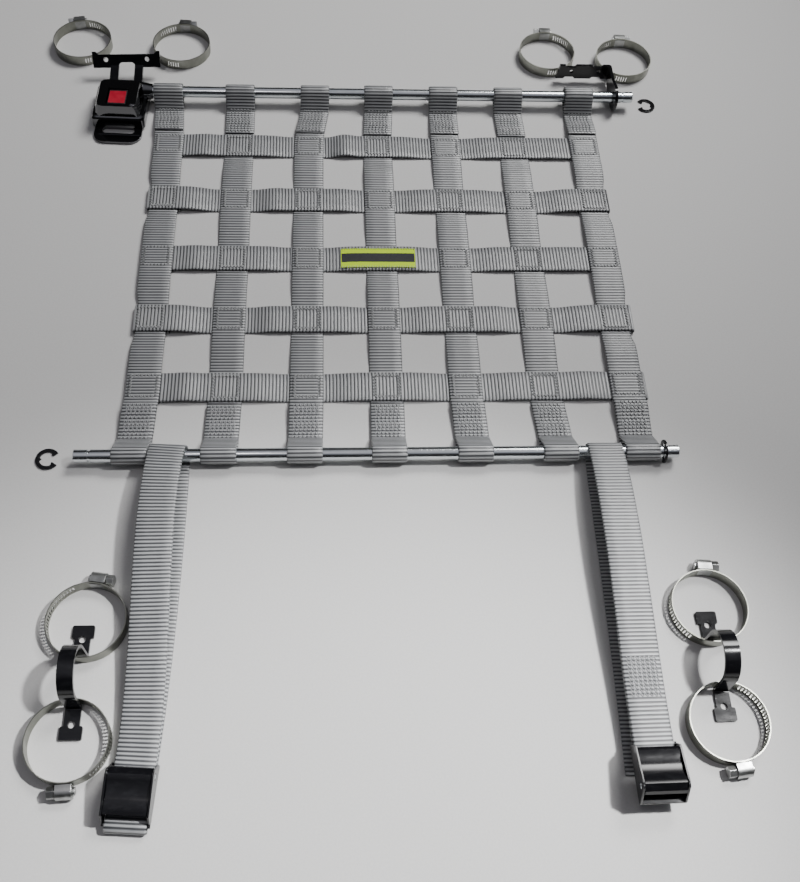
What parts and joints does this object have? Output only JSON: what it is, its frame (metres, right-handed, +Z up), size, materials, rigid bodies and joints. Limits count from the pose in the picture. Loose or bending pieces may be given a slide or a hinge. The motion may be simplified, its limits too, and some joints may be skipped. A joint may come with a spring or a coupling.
{
  "type": "racing window net with steel rods and cam-buckle mounting straps",
  "caption": "Woven webbing window net on steel rods, with a push-button latch, cam-buckle mounting straps and clamps that fix it to a roll cage.",
  "frame": {"origin": "On the table the net lies on, under the crossing of the middle vertical strap and the middle cross strap.", "axes": "+X runs along the rods, +Y from the mounting straps towards the latched rod, +Z up off the table."},
  "size_m": [0.5506, 0.729, 0.0353],
  "materials": {
    "webbing": "matte",
    "label": "matte",
    "rod": "polished",
    "chrome": "polished",
    "black": "semi_gloss",
    "button": "gloss",
    "steel": "satin"
  },
  "bodies": {
    "net": {"strap_v1": "webbing", "strap_v2": "webbing", "strap_v3": "webbing", "strap_v4": "webbing", "strap_v5": "webbing", "strap_v6": "webbing", "strap_v7": "webbing", "strap_h1": "webbing", "strap_h2": "webbing", "strap_h3": "webbing", "strap_h4": "webbing", "strap_h5": "webbing", "mount_strap_left": "webbing", "mount_strap_right": "webbing", "label": "label", "rod_top": "rod", "rod_bottom": "rod", "latch_base": "chrome", "latch_case": "chrome", "buckle_frame_left": "black", "buckle_pin_left": "black", "buckle_frame_right": "black", "buckle_pin_right": "black", "hoop_left": "black", "hoop_right": "black", "e_clip_left": "black", "e_clip_right": "black", "e_clip_rod": "black", "clamp_band_upper_left_1": "steel", "clamp_housing_upper_left_1": "steel", "clamp_screw_upper_left_1": "steel", "clamp_band_upper_left_2": "steel", "clamp_housing_upper_left_2": "steel", "clamp_screw_upper_left_2": "steel", "clamp_band_upper_right_1": "steel", "clamp_housing_upper_right_1": "steel", "clamp_screw_upper_right_1": "steel", "clamp_band_upper_right_2": "steel", "clamp_housing_upper_right_2": "steel", "clamp_screw_upper_right_2": "steel", "clamp_band_lower_left_1": "steel", "clamp_housing_lower_left_1": "steel", "clamp_screw_lower_left_1": "steel", "clamp_band_lower_left_2": "steel", "clamp_housing_lower_left_2": "steel", "clamp_screw_lower_left_2": "steel", "clamp_band_lower_right_1": "steel", "clamp_housing_lower_right_1": "steel", "clamp_screw_lower_right_1": "steel", "clamp_band_lower_right_2": "steel", "clamp_housing_lower_right_2": "steel", "clamp_screw_lower_right_2": "steel"},
    "lever_left": {"buckle_lever_left": "black"},
    "lever_right": {"buckle_lever_right": "black"},
    "button": {"latch_button": "button"},
    "tongue": {"latch_tongue": "black"},
    "bracket": {"rod_bracket": "black"}
  },
  "joints": [
    {"name": "lever_left", "type": "hinge", "parent": "net", "child": "lever_left", "pos_m": [-0.16109, -0.40837, 0.013], "axis": [-0.9969, 0.0785, 0], "range_deg": [0, 70], "stiffness_Nm_per_rad": 0.02, "springref_deg": -20.05},
    {"name": "lever_right", "type": "hinge", "parent": "net", "child": "lever_right", "pos_m": [0.15491, -0.4244, 0.0214], "axis": [0.9999, 0.0105, 0], "range_deg": [0, 70], "stiffness_Nm_per_rad": 0.02, "springref_deg": -20.05},
    {"name": "latch_button", "type": "slide", "parent": "net", "child": "button", "axis": [0, 0, -1], "range_m": [0, 0.0025], "stiffness_N_per_m": 600, "springref_m": -0.001},
    {"name": "latch_tongue", "type": "slide", "parent": "net", "child": "tongue", "axis": [-0.0436, 0.999, 0], "range_m": [0, 0.027]},
    {"name": "rod_bracket", "type": "hinge", "parent": "net", "child": "bracket", "pos_m": [0.2145, 0.182, 0.0115], "axis": [1, 0, 0], "range_deg": [0, 100]}
  ]
}
